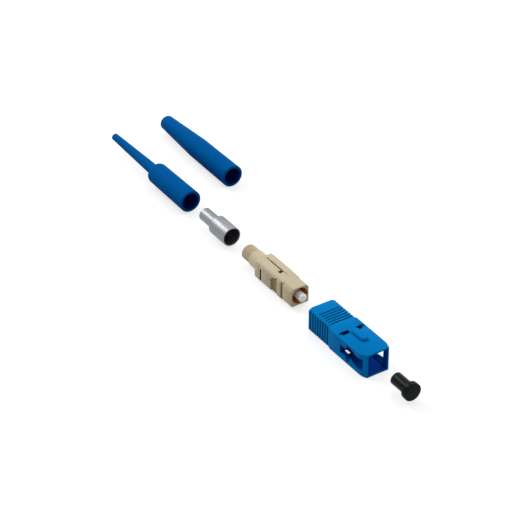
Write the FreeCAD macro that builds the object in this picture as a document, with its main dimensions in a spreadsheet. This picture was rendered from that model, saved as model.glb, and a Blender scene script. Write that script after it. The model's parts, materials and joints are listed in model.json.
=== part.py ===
"""SC fibre connector as a kit: every piece a named solid on one common axis.

Row frame, millimetres: +X is the mating direction along the connector's axis, +Z is up (the key side),
and the origin is the centre of the ferrule's end face. Pieces lie apart along the axis, and each one
slides along X to its assembled place.
"""
import FreeCAD, Part
import Sketcher
import math
import os
import re

Vector = FreeCAD.Vector

# Driving dimensions, in mm (counts have no unit).
DIMENSIONS = {
    # ferrule and the parts around it
    "ferrule_diameter": 2.5,
    "ferrule_length": 10.5,
    "ferrule_tip_chamfer": 0.35,
    "fibre_hole": 0.126,
    "ferrule_rear_funnel": 0.8,
    "ferrule_ground_length": 7.2,
    "ferrule_relief": 0.2,
    "ferrule_relief_length": 0.6,
    "tip_proud": 1.8,
    "holder_diameter": 4.2,
    "holder_length": 2.0,
    "holder_key_width": 0.7,
    "holder_key_depth": 0.45,
    "holder_key_count": 4,
    "stem_diameter": 3.1,
    "stem_length": 4.0,
    "guide_outer": 1.6,
    "guide_inner": 1.0,
    "guide_length": 13.5,
    "guide_seat": 2.4,
    # plug frame
    "frame_width": 6.0,
    "frame_length": 15.4,
    "frame_above": 2.85,
    "frame_below": 3.05,
    "frame_corner": 0.35,
    "block_corner": 0.55,
    "nose_length": 4.3,
    "nose_inset": 0.12,
    "nose_corner": 0.8,
    "mouth_diameter": 5.0,
    "mouth_depth": 5.7,
    "shoulder_thickness": 0.7,
    "shoulder_bore": 3.0,
    "cavity_diameter": 4.4,
    "recess_start": 7.0,
    "recess_bend": 9.0,
    "recess_end": 10.1,
    "recess_depth": 0.55,
    "recess_top": 2.6,
    "recess_bend_top": 1.75,
    "recess_rear_top": 0.9,
    "groove_start": 4.3,
    "groove_width": 0.85,
    "groove_depth": 0.4,
    "groove_top": 2.2,
    "notch_height": 0.75,
    "notch_depth": 0.35,
    "side_step_length": 1.5,
    "side_step_low": 0.1,
    "side_step_width": 0.25,
    "side_step_depth": 0.2,
    "rail_rise": 0.2,
    "rail_inner_side": 0.45,
    "rail_outer_side": 2.5,
    "rail_nose_start": 5.4,
    "rail_slope_start": 8.0,
    "rail_overhang": 1.4,
    "slit_width": 0.3,
    "slit_depth": 0.5,
    "window_start": 8.5,
    "window_length": 1.1,
    "window_width": 1.4,
    "side_slit_width": 0.6,
    "side_slit_depth": 0.5,
    "side_slit_top": 1.2,
    # rear body
    "flange_length": 2.6,
    "spigot_length": 1.8,
    "spigot_clearance": 0.02,
    "stem_clearance": 0.1,
    "cable_bore": 2.6,
    "collar_diameter": 5.1,
    "collar_length": 3.9,
    "post_diameter": 4.5,
    "post_length": 3.9,
    "knurl_depth": 0.2,
    "knurl_half_width": 0.3,
    "knurl_groove_count": 12,
    # spring
    "spring_wire": 0.32,
    "spring_clearance": 0.12,
    "spring_turns": 5,
    # crimp sleeve
    "sleeve_clearance": 0.1,
    "sleeve_wall": 0.3,
    "sleeve_length": 7.6,
    "sleeve_cone": 0.8,
    "neck_diameter": 4.0,
    "neck_length": 6.0,
    "seat_gap": 0.05,
    # boots
    "boot_mouth_diameter": 6.9,
    "boot_mouth_bore": 5.1,
    "boot_mouth_depth": 2.2,
    "boot_neck_clearance": 0.1,
    "boot_neck_depth": 8.0,
    "boot_bore_cone": 1.4,
    "fibre_boot_body": 19.5,
    "fibre_boot_shoulder_diameter": 6.5,
    "fibre_boot_tail": 24.2,
    "fibre_boot_root_diameter": 3.5,
    "fibre_boot_tip_diameter": 2.2,
    "fibre_boot_bore": 1.1,
    "fibre_boot_ring": 6.6,
    "fibre_boot_ring_width": 0.3,
    "fibre_boot_ring_depth": 0.1,
    "shoulder_round": 1.2,
    "fibre_boot_lip": 0.2,
    "cable_boot_length": 37.7,
    "cable_boot_taper": 18.5,
    "cable_boot_waist_diameter": 6.6,
    "cable_boot_tip_diameter": 4.5,
    "cable_boot_bore": 3.2,
    "cable_boot_lip": 0.45,
    # outer housing
    "housing_width": 9.0,
    "housing_height": 7.4,
    "housing_length": 26.0,
    "grip_length": 10.0,
    "grip_inset_side": 0.22,
    "grip_inset_top": 0.12,
    "corner_side": 1.15,
    "corner_top": 0.55,
    "corner_below": 0.4,
    "tunnel_clearance": 0.12,
    "taper_length": 2.5,
    "taper_side": 1.0,
    "taper_round": 2.4,
    "rib_first": 3.75,
    "rib_pitch": 1.05,
    "rib_width": 0.4,
    "rib_depth": 0.28,
    "rib_count": 6,
    "side_rib_first": 0.7,
    "side_rib_pitch": 1.14,
    "side_rib_width": 0.5,
    "side_rib_depth": 0.3,
    "side_rib_count": 8,
    "slot_start": 13.8,
    "slot_length": 1.4,
    "slot_inner_side": 1.25,
    "lower_slot_start": 12.9,
    "lower_slot_length": 2.2,
    "lower_slot_inner_side": 0.6,
    "lower_slot_outer_side": 2.6,
    "key_start": 15.3,
    "key_length": 5.3,
    "key_width": 2.2,
    "key_height": 0.9,
    "key_round": 0.35,
    "key_nose_gap": 0.05,
    "opening_start": 15.0,
    "opening_end": 25.0,
    "opening_narrow": 2.4,
    "opening_ramp": 0.4,
    "narrow_above": 1.0,
    "narrow_below": 1.4,
    "wide_above": 1.7,
    "wide_below": 2.3,
    "pillar_slope": 1.0,
    "pocket_start": 17.9,
    "pocket_end": 22.2,
    "pocket_depth": 0.7,
    "pocket_above": 2.45,
    "pocket_below": 2.8,
    "ramp_start": 18.5,
    "ramp_end": 21.8,
    "ramp_wall": 0.55,
    "ramp_half_height": 2.7,
    # dust cap
    "cap_clearance": 0.03,
    "cap_tube_diameter": 3.7,
    "cap_tube_length": 5.5,
    "cap_head_diameter": 5.3,
    "cap_head_length": 2.0,
    "cap_bore_depth": 5.6,
    "cap_tip_gap": 0.1,
    "cap_corner": 0.5,
    # how far each piece lies from its assembled place
    "housing_ahead": 0.6,
    "housing_apart": 35.8,
    "cap_apart": 48.0,
    "sleeve_apart": 16.35,
    "boot_behind": 27.3,
    "boot_apart": 13.0,
    "cable_boot_side": 17.9,
    "cable_boot_mouth": 61.8,
}

document = FreeCAD.newDocument("sc_connector")
sheet = document.addObject("Spreadsheet::Sheet", "dims")
for row, (alias, size) in enumerate(DIMENSIONS.items(), start=1):
    sheet.set(f"A{row}", alias.replace("_", " "))
    sheet.set(f"B{row}", str(size))
    sheet.setAlias(f"B{row}", alias)
document.recompute()

ALIAS = re.compile(r"[a-z][a-z_]*[a-z]")


def expression(text):
    """Turn a formula over the sheet's aliases into a FreeCAD expression."""
    return ALIAS.sub(lambda word: "dims." + word.group(), text)


def value(text):
    """Number that a formula over the sheet's aliases gives now."""
    return float(sheet.evalExpression(expression(text)))


def bind(target, prop, text):
    """Tie a property to a formula over the sheet's aliases."""
    target.setExpression(prop, expression(text))


SHOULDER_FLATS = 3

# Lengths that several pieces share, as formulas.
FRAME_FRONT = "(0 - tip_proud)"
FRAME_REAR = "(0 - tip_proud - frame_length)"
SHOULDER = "(mouth_depth + shoulder_thickness)"
FLANGE_REAR = "(frame_length + flange_length)"
STEM_BORE = "(stem_diameter + 2 * stem_clearance)"
SLEEVE_BORE = "(collar_diameter + 2 * sleeve_clearance)"
SLEEVE_OUTER = "(collar_diameter + 2 * sleeve_clearance + 2 * sleeve_wall)"
NECK_BORE = "(neck_diameter - 2 * sleeve_wall)"
BOOT_NECK_BORE = "(neck_diameter + 2 * boot_neck_clearance)"
HOUSING_REAR = "(housing_ahead - housing_length - tip_proud)"
TUNNEL_SIDE = "(frame_width / 2 + tunnel_clearance)"
TUNNEL_HALF = "(frame_below + tunnel_clearance)"


def new_body(label, along, side="0", up="0"):
    """Empty body whose own X axis lies along the connector's axis."""
    body = document.addObject("PartDesign::Body", label)
    body.Label = label
    bind(body, "Placement.Base.x", along)
    bind(body, "Placement.Base.y", side)
    bind(body, "Placement.Base.z", up)
    return body


def origin_item(body, role):
    """One of the body's own origin planes or axes."""
    return next(item for item in body.Origin.OriginFeatures if item.Role == role)


def new_sketch(body, name, plane, offset="0"):
    """Sketch on one of the body's origin planes, moved along its normal."""
    sketch = body.newObject("Sketcher::SketchObject", name)
    sketch.AttachmentSupport = [(origin_item(body, plane), "")]
    sketch.MapMode = "FlatFace"
    bind(sketch, "AttachmentOffset.Base.z", offset)
    return sketch


def dimension(sketch, kind, text, *where):
    """Driving constraint whose value follows a formula."""
    index = sketch.addConstraint(Sketcher.Constraint(kind, *where, value(text)))
    bind(sketch, f"Constraints[{index}]", text)


def add_outline(sketch, corners):
    """Closed straight-sided outline through corners given as pairs of formulas."""
    first = sketch.GeometryCount
    count = len(corners)
    points = [Vector(value(across), value(up), 0) for across, up in corners]
    for index, start in enumerate(points):
        sketch.addGeometry(Part.LineSegment(start, points[(index + 1) % count]))
    for index in range(count):
        after = first + (index + 1) % count
        sketch.addConstraint(Sketcher.Constraint("Coincident", first + index, 2, after, 1))
    for index, (across, up) in enumerate(corners):
        dimension(sketch, "DistanceX", across, -1, 1, first + index, 1)
        dimension(sketch, "DistanceY", up, -1, 1, first + index, 1)


def add_circle(sketch, diameter, across="0", up="0"):
    """Circle whose diameter and centre follow formulas."""
    index = sketch.GeometryCount
    centre = Vector(value(across), value(up), 0)
    sketch.addGeometry(Part.Circle(centre, Vector(0, 0, 1), value(diameter) / 2))
    dimension(sketch, "Diameter", diameter, index)
    dimension(sketch, "DistanceX", across, -1, 1, index, 3)
    dimension(sketch, "DistanceY", up, -1, 1, index, 3)


def finish(body, feature, volume_before=None):
    """Recompute a feature, make it the tip and check that it changed the solid."""
    body.Tip = feature
    document.recompute()
    volume = feature.Shape.Volume
    if volume_before is not None and abs(volume - volume_before) < 1e-6:
        raise RuntimeError(f"{feature.Name} changed nothing")
    return feature


def tip_volume(body):
    """Volume of the body so far."""
    return body.Tip.Shape.Volume if body.Tip else 0.0


def revolve(body, name, corners, cut=False):
    """Turn a half section, given as (along, radius) formulas, about the body's X axis."""
    before = tip_volume(body)
    sketch = new_sketch(body, name + "_section", "XZ_Plane")
    add_outline(sketch, corners)
    feature = body.newObject("PartDesign::Groove" if cut else "PartDesign::Revolution", name)
    feature.Profile = sketch
    feature.ReferenceAxis = (sketch, ["H_Axis"])
    feature.Angle = 360
    return finish(body, feature, before)


def extrude(body, name, plane, corners, low, high, cut=False, circle=None):
    """Pad or pocket between two heights, low and high, along the plane's world axis."""
    before = tip_volume(body)
    if plane == "XZ_Plane":
        low, high = f"0 - ({high})", f"0 - ({low})"
    sketch = new_sketch(body, name + "_outline", plane, low)
    if circle:
        add_circle(sketch, circle)
    else:
        add_outline(sketch, corners)
    feature = body.newObject("PartDesign::Pocket" if cut else "PartDesign::Pad", name)
    feature.Profile = sketch
    feature.Reversed = cut
    bind(feature, "Length", f"({high}) - ({low})")
    return finish(body, feature, before)


def box_corners(across_low, across_high, up_low, up_high):
    """Corners of a rectangle from its four limits."""
    return [(across_low, up_low), (across_high, up_low), (across_high, up_high), (across_low, up_high)]


def chamfered_corners(side, top, bottom, upper, lower):
    """Octagon on the YZ plane: half width, heights above and below the axis, (across, up) corner cuts."""
    return [
        (f"0 - {side} + {lower[0]}", f"0 - {bottom}"),
        (f"{side} - {lower[0]}", f"0 - {bottom}"),
        (side, f"{lower[1]} - {bottom}"),
        (side, f"{top} - {upper[1]}"),
        (f"{side} - {upper[0]}", top),
        (f"0 - {side} + {upper[0]}", top),
        (f"0 - {side}", f"{top} - {upper[1]}"),
        (f"0 - {side}", f"{lower[1]} - {bottom}"),
    ]


def mirror(body, originals, plane):
    """Copy features to the other side of an origin plane."""
    before = tip_volume(body)
    feature = body.newObject("PartDesign::Mirrored", originals[0].Name + "_mirror")
    feature.Originals = originals
    feature.MirrorPlane = (origin_item(body, plane), [""])
    return finish(body, feature, before)


def repeat_along(body, original, pitch, count):
    """Row of copies of a feature along the body's X axis."""
    before = tip_volume(body)
    feature = body.newObject("PartDesign::LinearPattern", original.Name + "_row")
    feature.Originals = [original]
    feature.Direction = (origin_item(body, "X_Axis"), [""])
    bind(feature, "Length", f"{pitch} * ({count} - 1)")
    bind(feature, "Occurrences", count)
    return finish(body, feature, before)


def repeat_around(body, original, count):
    """Ring of copies of a feature about the body's X axis."""
    before = tip_volume(body)
    feature = body.newObject("PartDesign::PolarPattern", original.Name + "_ring")
    feature.Originals = [original]
    feature.Axis = (origin_item(body, "X_Axis"), [""])
    feature.Angle = 360
    bind(feature, "Occurrences", count)
    return finish(body, feature, before)


def round_edges(body, name, radius, chosen, kind="Fillet"):
    """Fillet or chamfer the tip's edges for which chosen(edge) is true."""
    base = body.Tip
    names = [f"Edge{i}" for i, edge in enumerate(base.Shape.Edges, start=1) if chosen(edge)]
    if not names:
        raise RuntimeError(f"{name} found no edge")
    feature = body.newObject("PartDesign::" + kind, name)
    feature.Base = (base, names)
    bind(feature, "Radius" if kind == "Fillet" else "Size", radius)
    return finish(body, feature, base.Shape.Volume)


def ring_at(along, diameter):
    """Test for a full circular edge about X, by place and diameter."""
    place, radius = value(along), value(diameter) / 2

    def chosen(edge):
        round_edge = isinstance(edge.Curve, Part.Circle)
        return (round_edge and abs(edge.Curve.Center.x - place) < 1e-4
                and abs(edge.Curve.Radius - radius) < 1e-4)
    return chosen


def make_ferrule():
    """Ceramic rod with the fibre hole, a chamfered tip and a funnel at the rear."""
    body = new_body("ferrule", "0")
    rear = "(0 - ferrule_length)"
    relief_rear = "(0 - ferrule_ground_length - ferrule_relief_length)"
    revolve(body, "rod", [
        (rear, "fibre_hole / 2 + ferrule_rear_funnel / 2"),
        (f"{rear} + ferrule_rear_funnel", "fibre_hole / 2"),
        ("0", "fibre_hole / 2"),
        ("0", "ferrule_diameter / 2 - ferrule_tip_chamfer"),
        ("0 - ferrule_tip_chamfer", "ferrule_diameter / 2"),
        ("0 - ferrule_ground_length", "ferrule_diameter / 2"),
        ("0 - ferrule_ground_length", "ferrule_diameter / 2 - ferrule_relief"),
        (relief_rear, "ferrule_diameter / 2 - ferrule_relief"),
        (relief_rear, "ferrule_diameter / 2"),
        (rear, "ferrule_diameter / 2"),
    ])


def make_ferrule_flange():
    """Metal holder: keyed collar in front, stem behind, the ferrule pressed into its bore."""
    body = new_body("ferrule_flange", f"{FRAME_FRONT} - {SHOULDER}")
    seat = f"({SHOULDER} + tip_proud - ferrule_length)"
    rear = "(0 - holder_length - stem_length)"
    revolve(body, "holder", [
        ("0", "ferrule_diameter / 2"),
        ("0", "holder_diameter / 2"),
        ("0 - holder_length", "holder_diameter / 2"),
        ("0 - holder_length", "stem_diameter / 2"),
        (rear, "stem_diameter / 2"),
        (rear, "guide_outer / 2"),
        (f"{rear} + guide_seat", "guide_outer / 2"),
        (f"{rear} + guide_seat", "guide_inner / 2"),
        (seat, "guide_inner / 2"),
        (seat, "ferrule_diameter / 2"),
    ])
    notch = extrude(body, "key_notch", "YZ_Plane", box_corners(
        "0 - holder_key_width / 2", "holder_key_width / 2",
        "holder_diameter / 2 - holder_key_depth", "holder_diameter / 2 + holder_key_depth",
    ), "0 - holder_length", "0", cut=True)
    repeat_around(body, notch, "holder_key_count")


def make_guide_tube():
    """Thin tube pressed into the stem, leading the fibre through the rear body."""
    stem_rear = f"{FRAME_FRONT} - {SHOULDER} - holder_length - stem_length"
    body = new_body("guide_tube", f"{stem_rear} + guide_seat")
    revolve(body, "tube", box_corners("0 - guide_length", "0", "guide_inner / 2", "guide_outer / 2"))


def make_spring():
    """Compression spring round the stem, from the rear body's spigot to the holder; six-sided wire."""
    body = new_body("ferrule_spring", f"{FRAME_REAR} + spigot_length")
    room = f"(frame_length - {SHOULDER} - holder_length - spigot_length)"
    sketch = new_sketch(body, "wire_section", "XZ_Plane")
    turns = [math.pi / 3 * corner for corner in range(6)]
    add_outline(sketch, [
        (f"spring_wire / 2 * {1 + math.cos(turn):.6f}",
         f"stem_diameter / 2 + spring_clearance + spring_wire / 2 * {1 + math.sin(turn):.6f}")
        for turn in turns])
    helix = body.newObject("PartDesign::AdditiveHelix", "coils")
    helix.Profile = sketch
    helix.ReferenceAxis = (sketch, ["H_Axis"])
    helix.Mode = "height-turns-angle"
    helix.Angle = 0
    bind(helix, "Height", f"{room} - spring_wire")
    bind(helix, "Turns", "spring_turns")
    finish(body, helix)


def make_plug_frame():
    """Moulded frame: latch rib and recess on both sides, rail, slit and window on top."""
    body = new_body("plug_frame", FRAME_FRONT)
    rear = "(0 - frame_length)"
    half = "(frame_width / 2)"
    block_corner = ("block_corner", "block_corner")
    lower_corner = ("frame_corner", "frame_corner")
    nose_corner = ("nose_corner", "nose_corner")
    extrude(body, "main_block", "YZ_Plane", chamfered_corners(
        half, "frame_above", "frame_below", block_corner, lower_corner), rear, "0 - nose_length")
    extrude(body, "nose", "YZ_Plane", chamfered_corners(
        f"({half} - nose_inset)", "frame_above", "(frame_below - nose_inset)", nose_corner, lower_corner,
    ), "0 - nose_length", "0")
    extrude(body, "rail", "XZ_Plane", [
        (f"{rear} - rail_overhang", "frame_above - rail_rise"),
        ("0 - rail_nose_start", "frame_above - rail_rise"),
        ("0 - rail_nose_start", "frame_above"),
        ("0 - rail_slope_start", "frame_above + rail_rise"),
        (f"{rear} - rail_overhang", "frame_above + rail_rise"),
    ], "rail_inner_side", "rail_outer_side")
    extrude(body, "mouth", "YZ_Plane", None, "0 - mouth_depth", "0", cut=True, circle="mouth_diameter")
    extrude(body, "shoulder_hole", "YZ_Plane", None,
            f"0 - {SHOULDER}", "0 - mouth_depth", cut=True, circle="shoulder_bore")
    extrude(body, "cavity", "YZ_Plane", None, rear, f"0 - {SHOULDER}", cut=True, circle="cavity_diameter")
    recess = extrude(body, "latch_recess", "XZ_Plane", [
        ("0 - recess_end", "0 - frame_below"),
        ("0 - recess_start", "0 - frame_below"),
        ("0 - recess_start", "recess_top"),
        ("0 - recess_bend", "recess_bend_top"),
        ("0 - recess_end", "recess_rear_top"),
    ], f"0 - {half}", f"recess_depth - {half}", cut=True)
    mirror(body, [recess], "XZ_Plane")
    groove = extrude(body, "latch_groove", "XZ_Plane", box_corners(
        "0 - groove_start - groove_width", "0 - groove_start", "0 - frame_below", "groove_top",
    ), f"0 - {half}", f"groove_depth - {half}", cut=True)
    mirror(body, [groove], "XZ_Plane")
    notch = extrude(body, "groove_notch", "XZ_Plane", box_corners(
        "0 - groove_start - groove_width", "0 - groove_start", "frame_above - notch_height", "frame_above",
    ), f"0 - {half}", f"notch_depth - {half}", cut=True)
    mirror(body, [notch], "XZ_Plane")
    step = extrude(body, "side_step", "XZ_Plane", box_corners(
        "0 - recess_end - side_step_length", "0 - recess_end",
        "side_step_low", "side_step_low + side_step_width",
    ), f"0 - {half}", f"side_step_depth - {half}", cut=True)
    mirror(body, [step], "XZ_Plane")
    slit = extrude(body, "side_slit", "XZ_Plane", box_corners(
        rear, f"{rear} + side_slit_width", "0 - frame_below + frame_corner", "side_slit_top",
    ), f"0 - {half}", f"side_slit_depth - {half}", cut=True)
    mirror(body, [slit], "XZ_Plane")
    extrude(body, "top_slit", "XY_Plane", box_corners(
        rear, "0 - window_start - window_length", "rail_inner_side - slit_width", "rail_inner_side",
    ), "frame_above - slit_depth", "frame_above", cut=True)
    extrude(body, "window", "XY_Plane", box_corners(
        "0 - window_start - window_length", "0 - window_start",
        "rail_inner_side - window_width", "rail_inner_side",
    ), "0", "frame_above + rail_rise", cut=True)


def make_rear_body():
    """Moulded stop behind the frame: spigot, flange, collar and fluted crimp post."""
    body = new_body("rear_body", FRAME_FRONT)
    flange_front = "(0 - frame_length)"
    flange_rear = f"(0 - {FLANGE_REAR})"
    collar_rear = f"({flange_rear} - collar_length)"
    post_rear = f"({collar_rear} - post_length)"
    spigot_front = f"({flange_front} + spigot_length)"
    extrude(body, "flange", "YZ_Plane", chamfered_corners(
        "(frame_width / 2)", "frame_above", "frame_below",
        ("block_corner", "block_corner"), ("frame_corner", "frame_corner"),
    ), flange_rear, flange_front)
    revolve(body, "collar_and_post", [
        (post_rear, "0"),
        (f"{spigot_front}", "0"),
        (f"{spigot_front}", "cavity_diameter / 2 - spigot_clearance"),
        (flange_front, "cavity_diameter / 2 - spigot_clearance"),
        (flange_rear, "cavity_diameter / 2 - spigot_clearance"),
        (flange_rear, "collar_diameter / 2"),
        (collar_rear, "collar_diameter / 2"),
        (collar_rear, "post_diameter / 2"),
        (post_rear, "post_diameter / 2"),
    ])
    extrude(body, "rail_seat", "XZ_Plane", box_corners(
        f"{flange_front} - rail_overhang", flange_front, "frame_above - rail_rise", "frame_above + rail_rise",
    ), "rail_inner_side - slit_width", "rail_outer_side", cut=True)
    extrude(body, "stem_bore", "YZ_Plane", None, flange_rear, spigot_front, cut=True, circle=STEM_BORE)
    extrude(body, "cable_bore_cut", "YZ_Plane", None, post_rear, flange_rear, cut=True, circle="cable_bore")
    groove = extrude(body, "knurl_groove", "YZ_Plane", [
        ("0", "post_diameter / 2 - knurl_depth"),
        ("knurl_half_width", "post_diameter / 2 + knurl_depth / 2"),
        ("0 - knurl_half_width", "post_diameter / 2 + knurl_depth / 2"),
    ], post_rear, collar_rear, cut=True)
    repeat_around(body, groove, "knurl_groove_count")


def make_crimp_sleeve():
    """Drawn metal sleeve: wide tube over the collar, cone, and narrow neck for the cable."""
    body = new_body("crimp_sleeve", f"{FRAME_FRONT} - {FLANGE_REAR} - seat_gap - sleeve_apart")
    wide_rear = "(0 - sleeve_length)"
    neck_front = "(0 - sleeve_length - sleeve_cone)"
    neck_rear = "(0 - sleeve_length - sleeve_cone - neck_length)"
    revolve(body, "tube", [
        ("0", f"{SLEEVE_BORE} / 2"),
        ("0", f"{SLEEVE_OUTER} / 2"),
        (wide_rear, f"{SLEEVE_OUTER} / 2"),
        (neck_front, "neck_diameter / 2"),
        (neck_rear, "neck_diameter / 2"),
        (neck_rear, f"{NECK_BORE} / 2"),
        (neck_front, f"{NECK_BORE} / 2"),
        (wide_rear, f"{SLEEVE_BORE} / 2"),
    ])


def boot_bore(tip, narrow):
    """Inner half section shared by both boots, from the tail's tip to the mouth."""
    return [
        (tip, f"{narrow} / 2"),
        ("0 - boot_neck_depth", f"{narrow} / 2"),
        ("0 - boot_neck_depth", f"{BOOT_NECK_BORE} / 2"),
        ("0 - boot_mouth_depth - boot_bore_cone", f"{BOOT_NECK_BORE} / 2"),
        ("0 - boot_mouth_depth", "boot_mouth_bore / 2"),
        ("0", "boot_mouth_bore / 2"),
    ]


def rounded_shoulder(along, radius, size):
    """Corner of a half section at (along, radius), rounded by flats that touch its arc."""
    corners = []
    for step in range(SHOULDER_FLATS + 1):
        turn = math.pi / 2 * step / SHOULDER_FLATS
        back, drop = 1 - math.sin(turn), 1 - math.cos(turn)
        corners.append((f"{along} + {size} * {back:.6f}", f"{radius} - {size} * {drop:.6f}"))
    return corners


def make_fibre_boot():
    """Soft boot for bare fibre: wide body, rounded shoulder and a long thin tail."""
    body = new_body("fibre_boot", "0 - tip_proud - boot_behind - boot_apart - sleeve_apart")
    shoulder = "(0 - fibre_boot_body)"
    tip = "(0 - fibre_boot_body - fibre_boot_tail)"
    revolve(body, "shell", boot_bore(tip, "fibre_boot_bore") + [
        ("0", "boot_mouth_diameter / 2"),
        *rounded_shoulder(shoulder, "fibre_boot_shoulder_diameter / 2", "shoulder_round"),
        (shoulder, "fibre_boot_root_diameter / 2"),
        (tip, "fibre_boot_tip_diameter / 2"),
    ])
    round_edges(body, "lip", "fibre_boot_lip", ring_at(tip, "fibre_boot_tip_diameter"), "Chamfer")
    revolve(body, "witness_ring", box_corners(
        "0 - fibre_boot_ring - fibre_boot_ring_width", "0 - fibre_boot_ring",
        "fibre_boot_shoulder_diameter / 2 - fibre_boot_ring_depth", "boot_mouth_diameter / 2",
    ), cut=True)


def make_cable_boot():
    """Soft boot for round cable, lying on its side by itself beside the others."""
    body = new_body("cable_boot", "0 - tip_proud - cable_boot_mouth", "cable_boot_side",
                    "(boot_mouth_diameter - housing_height) / 2")
    waist = "(cable_boot_taper - cable_boot_length)"
    tip = "(0 - cable_boot_length)"
    revolve(body, "shell", boot_bore(tip, "cable_boot_bore") + [
        ("0", "boot_mouth_diameter / 2"),
        (waist, "cable_boot_waist_diameter / 2"),
        (tip, "cable_boot_tip_diameter / 2"),
    ])
    round_edges(body, "lip", "cable_boot_lip", ring_at(tip, "cable_boot_tip_diameter"), "Chamfer")


def cut_latch_openings(body):
    """Side openings of the housing: narrow behind, wide in front, with a latch ramp in each wall."""
    side = "(housing_width / 2)"
    ramp_face = f"({side} - ramp_wall)"
    wide_start = "(opening_start + opening_narrow)"
    extrude(body, "side_opening", "XZ_Plane", [
        ("opening_start", "0 - narrow_below"),
        (wide_start, "0 - narrow_below"),
        (f"{wide_start} + opening_ramp", "0 - wide_below"),
        ("opening_end - pillar_slope", "0 - wide_below"),
        ("opening_end - pillar_slope", "wide_above"),
        (f"{wide_start} + opening_ramp", "wide_above"),
        (wide_start, "narrow_above"),
        ("opening_start", "narrow_above"),
    ], f"0 - {side}", side, cut=True)
    cuts = (
        ("pillar_face", "0 - wide_below", "wide_above", [
            ("opening_end - pillar_slope", TUNNEL_SIDE),
            ("opening_end", side),
            ("opening_end - pillar_slope", side),
        ]),
        ("latch_pocket", "0 - pocket_below", "pocket_above", [
            ("pocket_start", f"{side} - pocket_depth"),
            ("pocket_end", side),
            ("pocket_start", side),
        ]),
        ("ramp_relief", "0 - ramp_half_height", "ramp_half_height", [
            ("ramp_start", TUNNEL_SIDE),
            ("opening_end - pillar_slope", TUNNEL_SIDE),
            ("opening_end - pillar_slope", ramp_face),
            ("ramp_end", ramp_face),
        ]),
    )
    for name, low, high, corners in cuts:
        feature = extrude(body, name, "XY_Plane", corners, low, high, cut=True)
        mirror(body, [feature], "XZ_Plane")


def make_outer_housing():
    """Moulded push-pull housing: ribbed grip, key, slots, side windows and a tapered front."""
    body = new_body("outer_housing", f"{HOUSING_REAR} + housing_apart")
    side = "(housing_width / 2)"
    top = "(housing_height / 2)"
    grip_side = "(housing_width / 2 - grip_inset_side)"
    grip_top = "(housing_height / 2 - grip_inset_top)"
    upper = ("corner_side", "corner_top")
    lower = ("corner_below", "corner_below")
    extrude(body, "grip", "YZ_Plane", chamfered_corners(
        grip_side, grip_top, grip_top, upper, lower), "0", "grip_length")
    extrude(body, "front", "YZ_Plane", chamfered_corners(
        side, top, top, upper, lower), "grip_length", "housing_length")
    corner = extrude(body, "front_taper", "XY_Plane", [
        ("housing_length - taper_length", side),
        ("housing_length", f"{side} - taper_side"),
        ("housing_length", side),
    ], f"0 - {top}", top, cut=True)
    mirror(body, [corner], "XZ_Plane")
    taper_start = value("housing_length - taper_length")
    round_edges(body, "taper_fillet", "taper_round", lambda edge: (
        abs(edge.CenterOfMass.x - taper_start) < 1e-4 and edge.BoundBox.YLength < 1e-4))
    extrude(body, "key", "XZ_Plane", [
        ("key_start", f"{top} - key_height"),
        ("key_start + key_length", f"{top} - key_height"),
        ("key_start + key_length", f"{top} + key_height"),
        ("key_start", f"{top} + key_height"),
    ], "0 - key_width / 2", "key_width / 2")
    key_front = value("key_start + key_length")
    key_side = value("key_width / 2")
    round_edges(body, "key_nose", "key_width / 2 - key_nose_gap", lambda edge: (
        abs(edge.CenterOfMass.x - key_front) < 1e-4 and abs(abs(edge.CenterOfMass.y) - key_side) < 1e-4))
    key_top = value(f"{top} + key_height")
    round_edges(body, "key_edge", "key_round", lambda edge: (
        abs(edge.BoundBox.ZMin - key_top) < 1e-4 and edge.CenterOfMass.x > value("key_start + key_round")
    ), "Chamfer")
    extrude(body, "tunnel", "YZ_Plane", box_corners(
        f"0 - {TUNNEL_SIDE}", TUNNEL_SIDE, f"0 - {TUNNEL_HALF}", TUNNEL_HALF,
    ), "0", "housing_length", cut=True)
    cut_latch_openings(body)
    slot = extrude(body, "top_slot", "XY_Plane", box_corners(
        "slot_start", "slot_start + slot_length", "slot_inner_side", side,
    ), TUNNEL_HALF, top, cut=True)
    mirror(body, [slot], "XZ_Plane")
    lower_slot = extrude(body, "bottom_slot", "XY_Plane", box_corners(
        "lower_slot_start", "lower_slot_start + lower_slot_length",
        "lower_slot_inner_side", "lower_slot_outer_side",
    ), f"0 - {top}", f"0 - {TUNNEL_HALF}", cut=True)
    mirror(body, [lower_slot], "XZ_Plane")
    rib = extrude(body, "top_rib", "XY_Plane", box_corners(
        "rib_first", "rib_first + rib_width", f"0 - {side}", side,
    ), f"{grip_top} - rib_depth", top, cut=True)
    repeat_along(body, rib, "rib_pitch", "rib_count")
    lower_rib = extrude(body, "bottom_rib", "XY_Plane", box_corners(
        "rib_first", "rib_first + rib_width", f"0 - {side}", side,
    ), f"0 - {top}", f"rib_depth - {grip_top}", cut=True)
    repeat_along(body, lower_rib, "rib_pitch", "rib_count")
    for name, low, high in (("left_rib", f"0 - {side}", f"side_rib_depth - {grip_side}"),
                            ("right_rib", f"{grip_side} - side_rib_depth", side)):
        side_rib = extrude(body, name, "XZ_Plane", box_corners(
            "side_rib_first", "side_rib_first + side_rib_width", f"0 - {top}", top,
        ), low, high, cut=True)
        repeat_along(body, side_rib, "side_rib_pitch", "side_rib_count")


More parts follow.
